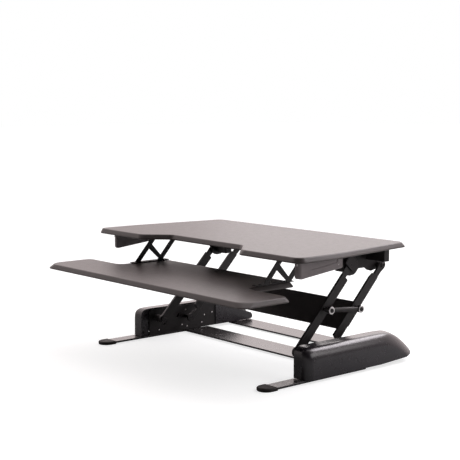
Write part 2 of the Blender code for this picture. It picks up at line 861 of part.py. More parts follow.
front_axis = axis("axis_front_arms", FRONT_PIVOT)
rear_axis = axis("axis_rear_arms", REAR_PIVOT)
link_axis = axis("axis_link_rods", FRONT_MID, parent=front_axis)
top_axis = axis("axis_platform", FRONT_TOP, parent=front_axis)
hang(rear_axis, "cross_panel")
hang(top_axis, "desktop", "keyboard_tray", "rear_beam")
for label, sign in (("right", 1), ("left", -1)):
    hang(front_axis, f"front_arm_{label}", f"notched_sector_{label}", f"link_bolt_front_{label}")
    hang(rear_axis, f"rear_arm_{label}", f"link_bolt_rear_{label}")
    hang(link_axis, f"link_rod_{label}")
    hang(
        top_axis,
        *(
            f"{piece}_{label}"
            for piece in (
                "tray_truss",
                "upper_bracket",
                "latch_box",
                "upper_front_pin",
                "upper_rear_pin",
                "pawl_pin",
                "lever_pin",
                "handle_housing",
                "release_cable",
            )
        ),
    )
    hang(axis(f"axis_lever_{label}", LEVER_PIVOT, sign * 0.413, top_axis), f"release_lever_{label}")
    hang(axis(f"axis_pawl_{label}", PAWL_PIVOT, sign * 0.306, top_axis), f"latch_pawl_{label}")
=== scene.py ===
"""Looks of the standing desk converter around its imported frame."""

import json
import math

import bmesh
import bpy
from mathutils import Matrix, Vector

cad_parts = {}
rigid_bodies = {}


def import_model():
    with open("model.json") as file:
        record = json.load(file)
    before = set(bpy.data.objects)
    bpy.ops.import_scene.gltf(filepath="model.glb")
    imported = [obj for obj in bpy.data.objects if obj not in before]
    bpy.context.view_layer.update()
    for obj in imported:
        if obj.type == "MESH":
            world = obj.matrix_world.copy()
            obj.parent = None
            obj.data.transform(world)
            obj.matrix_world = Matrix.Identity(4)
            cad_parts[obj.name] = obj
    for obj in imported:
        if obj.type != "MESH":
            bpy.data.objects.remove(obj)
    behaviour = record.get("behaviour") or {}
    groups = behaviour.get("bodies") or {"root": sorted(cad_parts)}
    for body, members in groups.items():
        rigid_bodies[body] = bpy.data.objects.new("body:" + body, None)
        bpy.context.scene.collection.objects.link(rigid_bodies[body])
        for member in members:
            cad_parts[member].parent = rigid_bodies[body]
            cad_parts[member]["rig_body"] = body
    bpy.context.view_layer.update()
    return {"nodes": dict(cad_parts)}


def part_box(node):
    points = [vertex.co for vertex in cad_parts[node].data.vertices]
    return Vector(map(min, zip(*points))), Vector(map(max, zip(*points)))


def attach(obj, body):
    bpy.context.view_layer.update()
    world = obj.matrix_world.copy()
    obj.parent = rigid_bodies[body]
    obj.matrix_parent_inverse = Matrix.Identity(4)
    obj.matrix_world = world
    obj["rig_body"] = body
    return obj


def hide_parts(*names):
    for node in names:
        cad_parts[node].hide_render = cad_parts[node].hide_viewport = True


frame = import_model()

NODES = frame["nodes"]
BODY_OF = {n: o["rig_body"] for n, o in NODES.items()}
SHIFT_Y = 0.2415  # the layout below starts at the tips of the foot caps, as in the CAD
SIDES = (("right", 1), ("left", -1))

# ------------------------------------------------------------------ shared dimensions, read off the frame
DESK_LOW, DESK_HIGH = (p.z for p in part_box("desktop"))
TRAY_LOW, TRAY_HIGH = (p.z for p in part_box("keyboard_tray"))


def centre_of(node):
    low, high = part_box(node)
    mid = (low + high) / 2
    return (mid.y + SHIFT_Y, mid.z)


FRONT_PIVOT = centre_of("lower_front_pin_right")
REAR_PIVOT = centre_of("lower_rear_pin_right")
FRONT_TOP = centre_of("upper_front_pin_right")
REAR_TOP = centre_of("upper_rear_pin_right")
FRONT_MID = centre_of("link_bolt_front_right")
REAR_MID = centre_of("link_bolt_rear_right")
PAWL_PIVOT = centre_of("pawl_pin_right")
LEVER_PIVOT = centre_of("lever_pin_right")

SHROUD_IN, SHROUD_OUT, SHROUD_TOP, SHROUD_R, WALL = 0.3487, 0.402, 0.0952, 0.026, 0.003


# ------------------------------------------------------------------ materials
def graph(name):
    made = bpy.data.materials.new(name)
    made.use_nodes = True
    tree = made.node_tree
    shader = tree.nodes["Principled BSDF"]
    coord = tree.nodes.new("ShaderNodeTexCoord")
    return made, tree, shader, coord.outputs["Object"]


def noise(tree, vector, scale, detail=3.0, rough=0.5, stretch=None):
    if stretch is not None:
        mapping = tree.nodes.new("ShaderNodeMapping")
        mapping.inputs["Scale"].default_value = stretch
        tree.links.new(vector, mapping.inputs["Vector"])
        vector = mapping.outputs["Vector"]
    node = tree.nodes.new("ShaderNodeTexNoise")
    node.inputs["Scale"].default_value = scale
    node.inputs["Detail"].default_value = detail
    node.inputs["Roughness"].default_value = rough
    tree.links.new(vector, node.inputs["Vector"])
    return node.outputs["Fac"]


def remap(tree, value, lo, hi, from_lo=0.3, from_hi=0.7):
    node = tree.nodes.new("ShaderNodeMapRange")
    node.inputs["From Min"].default_value = from_lo
    node.inputs["From Max"].default_value = from_hi
    node.inputs["To Min"].default_value = lo
    node.inputs["To Max"].default_value = hi
    tree.links.new(value, node.inputs["Value"])
    return node.outputs["Result"]


def mix_rgb(tree, fac, a, b):
    node = tree.nodes.new("ShaderNodeMix")
    node.data_type = "RGBA"
    tree.links.new(fac, node.inputs["Factor"])
    for socket, value in ((node.inputs[6], a), (node.inputs[7], b)):
        if isinstance(value, tuple):
            socket.default_value = (*value, 1.0)
        else:
            tree.links.new(value, socket)
    return node.outputs[2]


def bumps(tree, layers):
    """Bump nodes in a row: (height, strength, distance)."""
    last = None
    for height, strength, distance in layers:
        node = tree.nodes.new("ShaderNodeBump")
        node.inputs["Strength"].default_value = strength
        node.inputs["Distance"].default_value = distance
        tree.links.new(height, node.inputs["Height"])
        if last is not None:
            tree.links.new(last, node.inputs["Normal"])
        last = node.outputs["Normal"]
    return last


def painted_edge_highlight_and_wear(tree, radius, lo, hi):
    """1 along edges, 0 on flats: how far a rounded normal turns from the real one. The materials mix a lighter colour
    in with it: a painted highlight along the edges, partly edge wear.
    """
    bevel = tree.nodes.new("ShaderNodeBevel")
    bevel.samples = 4
    bevel.inputs["Radius"].default_value = radius
    geometry = tree.nodes.new("ShaderNodeNewGeometry")
    dot = tree.nodes.new("ShaderNodeVectorMath")
    dot.operation = "DOT_PRODUCT"
    tree.links.new(bevel.outputs["Normal"], dot.inputs[0])
    tree.links.new(geometry.outputs["Normal"], dot.inputs[1])
    return remap(tree, dot.outputs["Value"], 1.0, 0.0, lo, hi)


def laminate():
    made, tree, shader, at = graph("laminate_satin_grey")
    broad = noise(tree, at, 9.0, 4.0, 0.6)
    grain = noise(tree, at, 900.0, 2.0, 0.55)
    speck = noise(tree, at, 2600.0, 1.0, 0.5)
    tone = mix_rgb(tree, remap(tree, broad, 0.0, 1.0, 0.35, 0.65), (0.050, 0.0425, 0.0415), (0.055, 0.047, 0.046))
    tone = mix_rgb(tree, remap(tree, grain, 0.0, 0.55, 0.35, 0.70), tone, (0.068, 0.058, 0.057))
    # lighter colour along the board's edges: a painted edge highlight, partly edge wear
    tone = mix_rgb(tree, remap(tree, painted_edge_highlight_and_wear(tree, 0.0012, 0.90, 0.995), 0.0, 0.35, 0.0, 1.0), tone, (0.105, 0.092, 0.090))
    tree.links.new(tone, shader.inputs["Base Color"])
    tree.links.new(remap(tree, noise(tree, at, 70.0, 4.0, 0.55), 0.40, 0.44), shader.inputs["Roughness"])
    tree.links.new(bumps(tree, [(grain, 0.16, 0.0004), (speck, 0.10, 0.0002)]), shader.inputs["Normal"])
    shader.inputs["Specular IOR Level"].default_value = 0.5
    return made


def powder(name="powder_coat_black", smooth=False):
    made, tree, shader, at = graph(name)
    peel = noise(tree, at, 620.0, 2.0, 0.5)
    fine = noise(tree, at, 2200.0, 2.0, 0.6)
    broad = noise(tree, at, 24.0, 4.0, 0.6)
    tone = mix_rgb(tree, remap(tree, broad, 0.0, 1.0, 0.35, 0.65), (0.0105, 0.0090, 0.0094), (0.0150, 0.0128, 0.0134))
    tone = mix_rgb(tree, remap(tree, fine, 0.0, 0.5, 0.45, 0.75), tone, (0.030, 0.026, 0.027))
    # lighter colour along the edges: a painted edge highlight, partly edge wear
    tone = mix_rgb(tree, remap(tree, painted_edge_highlight_and_wear(tree, 0.0010, 0.85, 0.99), 0.0, 0.45, 0.0, 1.0), tone, (0.060, 0.054, 0.055))
    tree.links.new(tone, shader.inputs["Base Color"])
    gloss = (0.21, 0.28) if smooth else (0.36, 0.50)
    tree.links.new(remap(tree, noise(tree, at, 90.0, 4.0, 0.6), *gloss), shader.inputs["Roughness"])
    layers = [(peel, 0.06, 0.0003), (fine, 0.05, 0.0001)] if smooth else [(peel, 0.30, 0.0005), (fine, 0.22, 0.0002)]
    tree.links.new(bumps(tree, layers), shader.inputs["Normal"])
    shader.inputs["Specular IOR Level"].default_value = 0.60 if smooth else 0.36
    return made


def shell():
    made, tree, shader, at = graph("shell_plastic_graphite")
    cells = tree.nodes.new("ShaderNodeTexVoronoi")
    cells.inputs["Scale"].default_value = 950.0
    tree.links.new(at, cells.inputs["Vector"])
    broad = noise(tree, at, 16.0, 4.0, 0.55)
    fine = noise(tree, at, 1500.0, 2.0, 0.5)
    tone = mix_rgb(tree, remap(tree, broad, 0.0, 1.0, 0.35, 0.65), (0.0170, 0.0142, 0.0182), (0.0215, 0.0180, 0.0228))
    # lighter colour along the edges: a painted edge highlight, partly edge wear
    tone = mix_rgb(tree, remap(tree, painted_edge_highlight_and_wear(tree, 0.0012, 0.88, 0.99), 0.0, 0.30, 0.0, 1.0), tone, (0.055, 0.048, 0.057))
    tree.links.new(tone, shader.inputs["Base Color"])
    tree.links.new(remap(tree, noise(tree, at, 40.0, 5.0, 0.6), 0.22, 0.29), shader.inputs["Roughness"])
    tree.links.new(bumps(tree, [(cells.outputs["Distance"], 0.02, 0.0001), (fine, 0.02, 0.0001)]), shader.inputs["Normal"])
    shader.inputs["Specular IOR Level"].default_value = 0.6
    return made


def grey_plastic():
    made, tree, shader, at = graph("handle_plastic_grey")
    cells = tree.nodes.new("ShaderNodeTexVoronoi")
    cells.inputs["Scale"].default_value = 700.0
    tree.links.new(at, cells.inputs["Vector"])
    fine = noise(tree, at, 1300.0, 3.0, 0.6)
    broad = noise(tree, at, 30.0, 4.0, 0.6)
    tone = mix_rgb(tree, remap(tree, broad, 0.0, 1.0, 0.35, 0.65), (0.190, 0.166, 0.170), (0.225, 0.198, 0.203))
    tone = mix_rgb(tree, remap(tree, fine, 0.0, 0.5, 0.4, 0.7), tone, (0.270, 0.242, 0.247))
    # lighter colour along the edges: a painted edge highlight, partly edge wear
    tone = mix_rgb(tree, remap(tree, painted_edge_highlight_and_wear(tree, 0.0012, 0.88, 0.99), 0.0, 0.35, 0.0, 1.0), tone, (0.300, 0.275, 0.280))
    tree.links.new(tone, shader.inputs["Base Color"])
    tree.links.new(remap(tree, fine, 0.40, 0.56), shader.inputs["Roughness"])
    tree.links.new(bumps(tree, [(cells.outputs["Distance"], 0.28, 0.0004), (fine, 0.15, 0.0002)]), shader.inputs["Normal"])
    return made


def black_plastic():
    made, tree, shader, at = graph("lever_plastic_black")
    fine = noise(tree, at, 1100.0, 3.0, 0.6)
    broad = noise(tree, at, 45.0, 3.0, 0.6)
    tree.links.new(
        mix_rgb(tree, remap(tree, broad, 0.0, 1.0, 0.35, 0.65), (0.012, 0.011, 0.011), (0.020, 0.018, 0.018)),
        shader.inputs["Base Color"],
    )
    tree.links.new(remap(tree, fine, 0.40, 0.55), shader.inputs["Roughness"])
    tree.links.new(bumps(tree, [(fine, 0.20, 0.0003)]), shader.inputs["Normal"])
    return made


def rubber():
    made, tree, shader, at = graph("rubber_black")
    fine = noise(tree, at, 1600.0, 3.0, 0.6)
    dust = noise(tree, at, 120.0, 5.0, 0.7)
    tree.links.new(
        mix_rgb(tree, remap(tree, dust, 0.0, 1.0, 0.40, 0.75), (0.014, 0.012, 0.011), (0.034, 0.029, 0.027)),
        shader.inputs["Base Color"],
    )
    tree.links.new(remap(tree, dust, 0.55, 0.75), shader.inputs["Roughness"])
    tree.links.new(bumps(tree, [(fine, 0.25, 0.0003)]), shader.inputs["Normal"])
    shader.inputs["Specular IOR Level"].default_value = 0.35
    return made


def zinc():
    made, tree, shader, at = graph("zinc_plated_steel")
    turned_marks = noise(tree, at, 260.0, 2.0, 0.5, stretch=(8.0, 1.0, 1.0))
    spangle = noise(tree, at, 500.0, 3.0, 0.6)
    tree.links.new(
        mix_rgb(tree, remap(tree, spangle, 0.0, 1.0, 0.35, 0.65), (0.56, 0.54, 0.54), (0.72, 0.70, 0.70)),
        shader.inputs["Base Color"],
    )
    tree.links.new(remap(tree, turned_marks, 0.22, 0.38), shader.inputs["Roughness"])
    tree.links.new(bumps(tree, [(turned_marks, 0.12, 0.0002)]), shader.inputs["Normal"])
    shader.inputs["Metallic"].default_value = 1.0
    return made


def black_oxide():
    made, tree, shader, at = graph("black_oxide_steel")
    marks = noise(tree, at, 700.0, 3.0, 0.6)
    tone = mix_rgb(tree, remap(tree, marks, 0.0, 1.0, 0.35, 0.65), (0.020, 0.018, 0.019), (0.040, 0.037, 0.038))
    # lighter colour along the edges: a painted edge highlight, partly edge wear
    tone = mix_rgb(tree, remap(tree, painted_edge_highlight_and_wear(tree, 0.0006, 0.85, 0.99), 0.0, 0.7, 0.0, 1.0), tone, (0.200, 0.190, 0.190))
    tree.links.new(tone, shader.inputs["Base Color"])
    tree.links.new(remap(tree, marks, 0.28, 0.42), shader.inputs["Roughness"])
    tree.links.new(bumps(tree, [(marks, 0.10, 0.0002)]), shader.inputs["Normal"])
    shader.inputs["Metallic"].default_value = 0.6
    return made


MAT = {
    "laminate": laminate(),
    "powder_coat": powder(),
    "powder_smooth": powder("powder_coat_smooth", True),
    "shell_plastic": shell(),
    "grey_plastic": grey_plastic(),
    "black_plastic": black_plastic(),
    "rubber": rubber(),
    "zinc_steel": zinc(),
    "black_oxide": black_oxide(),
}


# ------------------------------------------------------------------ mesh helpers
def link(obj):
    bpy.context.scene.collection.objects.link(obj)
    return obj


def soften(mesh, angle=32):
    mesh.shade_smooth()
    mesh.set_sharp_from_angle(angle=math.radians(angle))


def piece(name, bm, slot, body, side=1, replaces=(), bevel=None, angle=32, shift=True, look=None):
    """The bmesh as a finished piece, mirrored to the left when side is -1."""
    for vert in bm.verts:
        vert.co.x *= side
        if shift:
            vert.co.y -= SHIFT_Y
    bmesh.ops.recalc_face_normals(bm, faces=bm.faces)
    mesh = bpy.data.meshes.new(name)
    bm.to_mesh(mesh)
    bm.free()
    soften(mesh, angle)
    obj = link(bpy.data.objects.new(name, mesh))
    mesh.materials.append(MAT[look or slot])
    if bevel:
        mod = obj.modifiers.new("bevel", "BEVEL")
        mod.width = bevel
        mod.segments = 3
        mod.limit_method = "ANGLE"
        mod.angle_limit = math.radians(35)
        mod.harden_normals = False
    mod = obj.modifiers.new("weighted", "WEIGHTED_NORMAL")
    mod.keep_sharp = True
    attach(obj, body)
    if replaces:
        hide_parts(*replaces)
    return obj


def loft(rings, bm=None):
    bm = bm or bmesh.new()
    made = [[bm.verts.new(p) for p in ring] for ring in rings]
    count = len(made[0])
    for low, high in zip(made, made[1:]):
        for i in range(count):
            j = (i + 1) % count
            bm.faces.new((low[i], low[j], high[j], high[i]))
    bm.faces.new(list(reversed(made[0])))
    bm.faces.new(made[-1])
    return bm


def prism_x(points, x0, x1, bm=None):
    return loft([[(x, y, z) for y, z in points] for x in (x0, x1)], bm)


def arc(centre, radius, start, end, steps):
    return [
        (
            centre[0] + radius * math.cos(math.radians(start + (end - start) * i / steps)),
            centre[1] + radius * math.sin(math.radians(start + (end - start) * i / steps)),
        )
        for i in range(steps + 1)
    ]


def circle(centre, radius, count=40, turn=0.0):
    return arc(centre, radius, turn, 360 + turn, count)[:-1]


def rounded(corners, steps=5):
    out = []
    count = len(corners)
    for i, (x, y, r) in enumerate(corners):
        if r <= 0:
            out.append((x, y))
            continue
        px, py, _ = corners[i - 1]
        nx, ny, _ = corners[(i + 1) % count]
        ax, ay = px - x, py - y
        bx, by = nx - x, ny - y
        la, lb = math.hypot(ax, ay), math.hypot(bx, by)
        ax, ay, bx, by = ax / la, ay / la, bx / lb, by / lb
        half = math.acos(max(-1.0, min(1.0, ax * bx + ay * by))) / 2
        if half > math.radians(88):
            out.append((x, y))
            continue
        cut = min(r / math.tan(half), 0.48 * la, 0.48 * lb)
        radius = cut * math.tan(half)
        mx, my = ax + bx, ay + by
        lm = math.hypot(mx, my)
        reach = radius / math.sin(half)
        cx, cy = x + mx / lm * reach, y + my / lm * reach
        start = math.atan2(y + ay * cut - cy, x + ax * cut - cx)
        end = math.atan2(y + by * cut - cy, x + bx * cut - cx)
        turn = (end - start + math.pi) % (2 * math.pi) - math.pi
        for k in range(steps + 1):
            angle = start + turn * k / steps
            out.append((cx + radius * math.cos(angle), cy + radius * math.sin(angle)))
    return out


def inset(points, distance):
    out = []
    count = len(points)
    for i in range(count):
        ax, ay = points[i - 1]
        bx, by = points[i]
        cx, cy = points[(i + 1) % count]
        ux, uy = bx - ax, by - ay
        vx, vy = cx - bx, cy - by
        lu, lv = math.hypot(ux, uy), math.hypot(vx, vy)
        n1 = (-uy / lu, ux / lu)
        n2 = (-vy / lv, vx / lv)
        k = 1 + n1[0] * n2[0] + n1[1] * n2[1]
        out.append((bx + distance * (n1[0] + n2[0]) / k, by + distance * (n1[1] + n2[1]) / k))
    return out


def through(points, steps):
    """A smooth curve through open points (Catmull-Rom, centripetal)."""
    pts = [Vector(p) for p in points]
    pts = [2 * pts[0] - pts[1]] + pts + [2 * pts[-1] - pts[-2]]
    out = []
    for i in range(1, len(pts) - 2):
        p = pts[i - 1 : i + 3]
        t = [0.0]
        for a, b in zip(p, p[1:]):
            t.append(t[-1] + max((b - a).length, 1e-9) ** 0.5)
        for k in range(steps):
            u = t[1] + (t[2] - t[1]) * k / steps
            a1 = p[0] * ((t[1] - u) / (t[1] - t[0])) + p[1] * ((u - t[0]) / (t[1] - t[0]))
            a2 = p[1] * ((t[2] - u) / (t[2] - t[1])) + p[2] * ((u - t[1]) / (t[2] - t[1]))
            a3 = p[2] * ((t[3] - u) / (t[3] - t[2])) + p[3] * ((u - t[2]) / (t[3] - t[2]))
            b1 = a1 * ((t[2] - u) / (t[2] - t[0])) + a2 * ((u - t[0]) / (t[2] - t[0]))
            b2 = a2 * ((t[3] - u) / (t[3] - t[1])) + a3 * ((u - t[1]) / (t[3] - t[1]))
            out.append(tuple(b1 * ((t[2] - u) / (t[2] - t[1])) + b2 * ((u - t[1]) / (t[2] - t[1]))))
    out.append(tuple(pts[-2]))
    return out


def turned(profile, centre, count=48, bm=None):
    """A body turned about an axis along X through centre (y, z): profile is (x, radius) pairs."""
    bm = bm or bmesh.new()
    rings = [
        [
            bm.verts.new(
                (
                    x,
                    centre[0] + r * math.cos(2 * math.pi * i / count),
                    centre[1] + r * math.sin(2 * math.pi * i / count),
                )
            )
            for i in range(count)
        ]
        for x, r in profile
    ]
    for low, high in zip(rings, rings[1:]):
        for i in range(count):
            j = (i + 1) % count
            bm.faces.new((low[i], low[j], high[j], high[i]))
    bm.faces.new(list(reversed(rings[0])))
    bm.faces.new(rings[-1])
    return bm


def carve(bm, cutters):
    """The bmesh with closed cutter bmeshes taken out of it by an exact Boolean, as a new bmesh."""
    bmesh.ops.recalc_face_normals(bm, faces=bm.faces)
    mesh = bpy.data.meshes.new("carve")
    bm.to_mesh(mesh)
    bm.free()
    obj = link(bpy.data.objects.new("carve", mesh))
    made = []
    for i, (operation, cut) in enumerate(cutters):
        bmesh.ops.recalc_face_normals(cut, faces=cut.faces)
        data = bpy.data.meshes.new(f"carve_cut_{i}")
        cut.to_mesh(data)
        cut.free()
        other = link(bpy.data.objects.new(f"carve_cut_{i}", data))
        mod = obj.modifiers.new("cut", "BOOLEAN")
        mod.operation = operation
        mod.solver = "EXACT"
        mod.object = other
        made.append(other)
    graph_now = bpy.context.evaluated_depsgraph_get()
    graph_now.update()
    result = bpy.data.meshes.new_from_object(obj.evaluated_get(graph_now))
    for each in [obj] + made:
        data = each.data
        bpy.data.objects.remove(each, do_unlink=True)
        bpy.data.meshes.remove(data)
    out = bmesh.new()
    out.from_mesh(result)
    bpy.data.meshes.remove(result)
    bmesh.ops.remove_doubles(out, verts=out.verts, dist=2e-6)
    return out


def refined(node, slot, bevel=0.0006, angle=35, look=None):
    """A CAD node's own shape with its flats made whole and its edges rounded, standing in for the node."""
    bm = bmesh.new()
    bm.from_mesh(NODES[node].data)
    bmesh.ops.remove_doubles(bm, verts=bm.verts, dist=4e-6)
    bmesh.ops.dissolve_limit(
        bm, angle_limit=math.radians(0.6), verts=bm.verts, edges=bm.edges, use_dissolve_boundaries=False
    )
    for layer in list(bm.loops.layers.float_vector):
        bm.loops.layers.float_vector.remove(layer)
    return piece(f"{node}_finished", bm, slot, BODY_OF[node], 1, (node,), bevel, angle, shift=False, look=look)


def pan_screw(bm, centre, axis, radius=0.0038, height=0.0022):
    """A domed screw head with a cross recess, standing on centre along axis, added to bm."""
    z = Vector(axis).normalized()
    x = z.orthogonal().normalized()
    y = z.cross(x)
    count = 24
    rings = []
    shape = [(1.0, -0.3), (1.0, 0.35), (0.93, 0.62), (0.78, 0.84), (0.55, 0.96), (0.30, 1.0)]
    for r, h in shape:
        rings.append(
            [
                bm.verts.new(
                    Vector(centre)
                    + x * (radius * r * math.cos(2 * math.pi * i / count))
                    + y * (radius * r * math.sin(2 * math.pi * i / count))
                    + z * (height * h)
                )
                for i in range(count)
            ]
        )
    star = []
    for i in range(count):
        a = 2 * math.pi * i / count
        reach = 0.24 if (i // 3) % 2 else 0.10
        star.append(
            bm.verts.new(
                Vector(centre) + x * (radius * reach * math.cos(a)) + y * (radius * reach * math.sin(a)) + z * (height * 0.35)
            )
        )
    rings.append(star)
    for low, high in zip(rings, rings[1:]):
        for i in range(count):
            j = (i + 1) % count
            bm.faces.new((low[i], low[j], high[j], high[i]))
    bm.faces.new(list(reversed(rings[0])))
    bm.faces.new(rings[-1])
    return bm


def hex_head(bm, centre, x0, x1, radius, socket, count=48):
    """A button head along X from x0 to x1 with a hexagon socket in its outer face."""
    reach = x1 - x0
    shape = [(x0, radius), (x0 + 0.35 * reach, radius), (x0 + 0.72 * reach, radius * 0.93), (x1, radius * 0.74)]
    rings = []
    for x, r in shape:
        rings.append([(x, centre[0] + r * math.cos(2 * math.pi * i / count), centre[1] + r * math.sin(2 * math.pi * i / count)) for i in range(count)])
    for x, grow in ((x1, 1.0), (x0 + 0.25 * reach, 0.97)):
        ring = []
        for i in range(count):
            a = 2 * math.pi * i / count
            hexa = socket * grow / math.cos(((a + math.pi / 6) % (math.pi / 3)) - math.pi / 6)
            ring.append((x, centre[0] + hexa * math.cos(a), centre[1] + hexa * math.sin(a)))
        rings.append(ring)
    return loft(rings, bm)


# ------------------------------------------------------------------ boards
EDGE = [
    (0.0026, 0.0), (0.0015, 0.0003), (0.0007, 0.0009), (0.0002, 0.0016), (0.0, 0.0024), (0.0001, 0.0034), (0.0006, 0.0050),
    (0.0044, 0.0126), (0.0049, 0.0134), (0.0056, 0.0142), (0.0065, 0.0148), (0.0076, 0.0152), (0.0092, 0.0153),
]


def board(name, half, low, high, node, steps=14):
    scale = (high - low) / 0.0153
    rings = []
    for d, z in EDGE:
        grow = 1.0 + 0.85 * max(0.0, (z - 0.0030) / 0.0123)
        corners = [(x, y, r * grow if r < 0.1 else r) for x, y, r in half]
        pts = rounded(corners + [(0.0, half[-1][1], 0)], steps)
        outline = pts + [(-x, y) for x, y in reversed(pts) if x > 1e-6]
        rings.append([(x, y, low + z * scale) for x, y in inset(outline, d)])
    return piece(name, loft(rings), "laminate", "platform", 1, (node,))


board(
    "desktop_board",
    [
        (0.0, 0.1209, 0), (0.1600, 0.1209, 0.018), (0.2270, 0.0546, 0.026), (0.3200, 0.0548, 0), (0.4565, 0.0560, 0.026),
        (0.4575, 0.1100, 0), (0.4570, 0.1500, 0.6), (0.4550, 0.2000, 0.6), (0.4500, 0.2450, 0.6), (0.4430, 0.2950, 0.6),
        (0.4320, 0.3700, 0.6), (0.4215, 0.4450, 0.6), (0.4110, 0.5295, 0.016),
    ],
    DESK_LOW,
    DESK_HIGH,
    "desktop",
)
board(
    "keyboard_tray_board",
    [(0.0, -0.1335, 0), (0.4570, -0.1335, 0.026), (0.4570, 0.0301, 0.014), (0.2950, 0.0301, 0.010), (0.2950, 0.2000, 0.012)],
    TRAY_LOW,
    TRAY_HIGH,
    "keyboard_tray",
)

# ------------------------------------------------------------------ plain steel pieces, edges rounded
for bar_node in ("front_crossbar", "rear_crossbar"):
    refined(bar_node, "powder_coat", 0.0008, look="powder_smooth")
for bar_node in ("rear_beam", "cross_panel"):
    refined(bar_node, "powder_coat", 0.0008)
for tag, side in SIDES:
    refined(f"foot_bar_{tag}", "powder_coat", 0.0010, look="powder_smooth")
    refined(f"inner_plate_{tag}", "powder_coat", 0.0004)
    refined(f"front_arm_{tag}", "powder_coat", 0.0009)
    refined(f"rear_arm_{tag}", "powder_coat", 0.0009)
    refined(f"tray_truss_{tag}", "powder_coat", 0.0006)
    refined(f"upper_bracket_{tag}", "powder_coat", 0.0006)
    refined(f"latch_box_{tag}", "powder_coat", 0.0010)
    refined(f"rear_cover_{tag}", "shell_plastic", 0.0008)
    refined(f"notched_sector_{tag}", "black_oxide", 0.0003)
    refined(f"latch_pawl_{tag}", "black_oxide", 0.0004)
    refined(f"release_lever_{tag}", "black_plastic", 0.0012)
    refined(f"rear_foot_pad_{tag}", "rubber", 0.0005)
    refined(f"foot_cap_{tag}", "rubber", 0.0008)


# ------------------------------------------------------------------ shrouds
def side_profile(x, shrink, fall):
    share = max(0.0, (x - 0.345) / (SHROUD_OUT - 0.345))
    tail = 0.6165 - 0.0295 * share**1.6 - shrink
    front = 0.1445 + shrink
    bottom = 0.0095
    scale = (SHROUD_TOP - fall - bottom) / (0.1015 - bottom)
    skin = [
        (front, bottom), (front, 0.030), (front, 0.050), (front + 0.0010, 0.082), (front + 0.0045, 0.0930),
        (front + 0.0125, 0.0990), (front + 0.0235, 0.1015), (0.250, 0.1015), (0.350, 0.1015), (tail - 0.133, 0.1000),
        (tail - 0.108, 0.0955), (tail - 0.080, 0.0825), (tail - 0.050, 0.0615), (tail - 0.026, 0.0400),
        (tail - 0.0150, 0.0280), (tail - 0.0125, 0.0235), (tail - 0.0145, 0.0202),
    ]
    smooth = through(skin, 5) + [(0.440, bottom), (0.300, bottom)]
    return [(y, bottom + (z - bottom) * scale) for y, z in smooth]


def shroud_rings(radius, wall, first, drop):
    start = SHROUD_OUT - SHROUD_R
    places = [(first, wall, wall), ((first + start) / 2, wall, wall)]
    for a in range(0, 91, 5):
        bend = 1 - math.cos(math.radians(a))
        places.append((start + radius * math.sin(math.radians(a)), wall + radius * bend, wall + 1.55 * radius * bend))
    rings = []
    for x, d, fall in places:
        rings.append([(x, y, z - 0.03 if drop and z < 0.0200 else z) for y, z in side_profile(x, d, fall)])
    return rings


for tag, side in SIDES:
    bm = carve(
        loft(shroud_rings(SHROUD_R, 0.0, SHROUD_IN, False)),
        [
            ("DIFFERENCE", loft(shroud_rings(SHROUD_R - WALL, WALL, 0.3400, True))),
            ("UNION", prism_x([(0.1460, 0.0105), (0.1745, 0.0105), (0.1745, 0.0935), (0.1560, 0.0905), (0.1490, 0.0850), (0.1460, 0.0745)], 0.3490, 0.3517)),
        ],
    )
    piece(f"shroud_shell_{tag}", bm, "shell_plastic", "base", side, (f"shroud_{tag}",), angle=40)


# ------------------------------------------------------------------ handle housings
def housing_profile(front, rise):
    def low(y):
        return 0.2915 + max(0.0, y - 0.1010) * 0.1054 + rise

    top = DESK_LOW - 0.0003
    return [
        (front, top), (front, low(front) + 0.0070), (front + 0.0006, low(front) + 0.0044), (front + 0.0020, low(front) + 0.0021),
        (front + 0.0042, low(front) + 0.0006), (front + 0.0070, low(front)), (0.1140, low(0.1140)), (0.2515, low(0.2515)),
        (0.2530, low(0.2530) + 0.0005), (0.2540, low(0.2540) + 0.0022), (0.2540, top),
    ]


